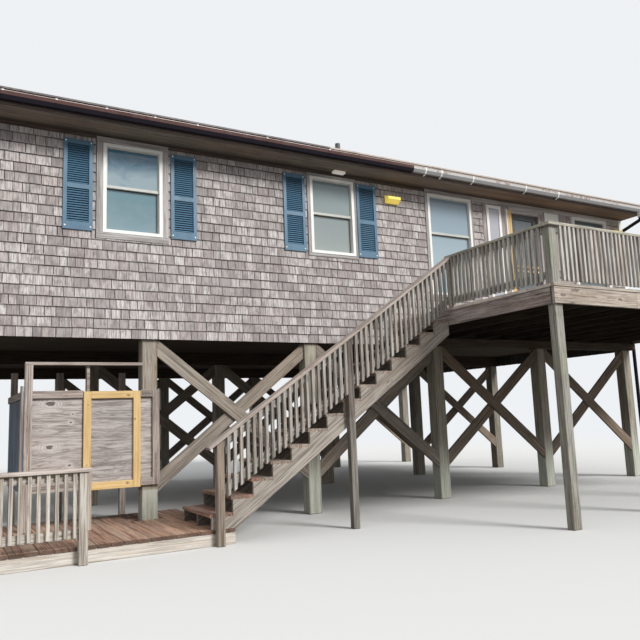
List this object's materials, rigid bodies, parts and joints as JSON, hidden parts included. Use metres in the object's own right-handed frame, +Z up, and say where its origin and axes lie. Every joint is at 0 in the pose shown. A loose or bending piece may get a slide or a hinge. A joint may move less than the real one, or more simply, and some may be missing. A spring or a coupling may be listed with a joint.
{
  "type": "raised timber beach house",
  "caption": "Shingled beach house on timber piles with cross braces, raised deck, cut-stringer stair with railings, louvred shutters and an under-house shower stall with a hinged door.",
  "frame": {"origin": "middle of the footprint's bounding rectangle, on the ground", "axes": "+X along the front wall towards the deck end, +Y from the front to the back of the house, +Z up"},
  "size_m": [12.744, 11.821, 6.8867],
  "materials": {
    "casing_timber": "weathered",
    "deck_timber": "weathered",
    "door_paint": "satin",
    "fascia_timber": "weathered",
    "frame_timber": "weathered",
    "gutter_brown": "satin",
    "gutter_grey": "weathered",
    "hinge_steel": "galvanised",
    "light_yellow": "satin",
    "new_pine": "fresh",
    "pale_timber": "faded paint",
    "pile_timber": "weathered",
    "plywood": "weathered",
    "rail_timber": "weathered",
    "roof_shingle": "mineral granules",
    "sash_vinyl": "satin",
    "shutter_blue": "satin, sun-faded",
    "soffit_timber": "weathered",
    "stair_timber": "weathered",
    "vent_plastic": "matt",
    "walk_timber": "worn red-brown stain",
    "wall_shingle": "weathered cedar shingles",
    "white_trim": "satin",
    "window_glass": "clear"
  },
  "bodies": {
    "house": {"back_piles": "pile_timber", "back_wall": "wall_shingle", "boardwalk_floor": "walk_timber", "boardwalk_frame": "pale_timber", "boardwalk_railing": "rail_timber", "braces_falling": "frame_timber", "braces_rising": "frame_timber", "brown_gutters": "gutter_brown", "corner_boards": "white_trim", "deck_bearer": "deck_timber", "deck_floor": "deck_timber", "deck_front_railing": "rail_timber", "deck_front_rim": "deck_timber", "deck_joists": "deck_timber", "deck_ledger": "deck_timber", "deck_posts": "rail_timber", "deck_side_railings": "rail_timber", "deck_side_rims": "deck_timber", "downspout": "gutter_brown", "eave_fascias": "fascia_timber", "eave_soffits": "soffit_timber", "entry_door": "door_paint", "entry_jambs": "casing_timber", "floor_platform": "frame_timber", "front_piles": "pile_timber", "front_wall": "wall_shingle", "girders": "frame_timber", "grey_gutter": "gutter_grey", "left_wall": "wall_shingle", "lower_sashes": "sash_vinyl", "middle_piles": "pile_timber", "rail_caps": "rail_timber", "railing_posts": "rail_timber", "rake_boards": "fascia_timber", "right_wall": "wall_shingle", "roof_back": "roof_shingle", "roof_front": "roof_shingle", "shower_boards": "rail_timber", "shower_hinge_leaves": "hinge_steel", "shower_posts": "rail_timber", "shower_sheets": "plywood", "shower_top_frame": "rail_timber", "shutters": "shutter_blue", "sign_board": "white_trim", "soffit_light": "sash_vinyl", "stair_railing": "rail_timber", "stair_stringers": "stair_timber", "stair_treads": "stair_timber", "upper_sashes": "sash_vinyl", "vent_pipe": "vent_plastic", "wall_lights": "light_yellow", "window_casings": "casing_timber", "window_frames": "white_trim", "window_panes": "window_glass"},
    "shower_door": {"shower_door_sheet": "plywood", "shower_door_frame": "new_pine", "shower_door_hinge_leaves": "hinge_steel"}
  },
  "joints": [
    {"name": "shower_door_hinge", "type": "hinge", "parent": "house", "child": "shower_door", "pos_m": [-3.8225, -2.5675, 1.2275], "axis": [0, 0, 1], "range_deg": [0, 100]}
  ]
}
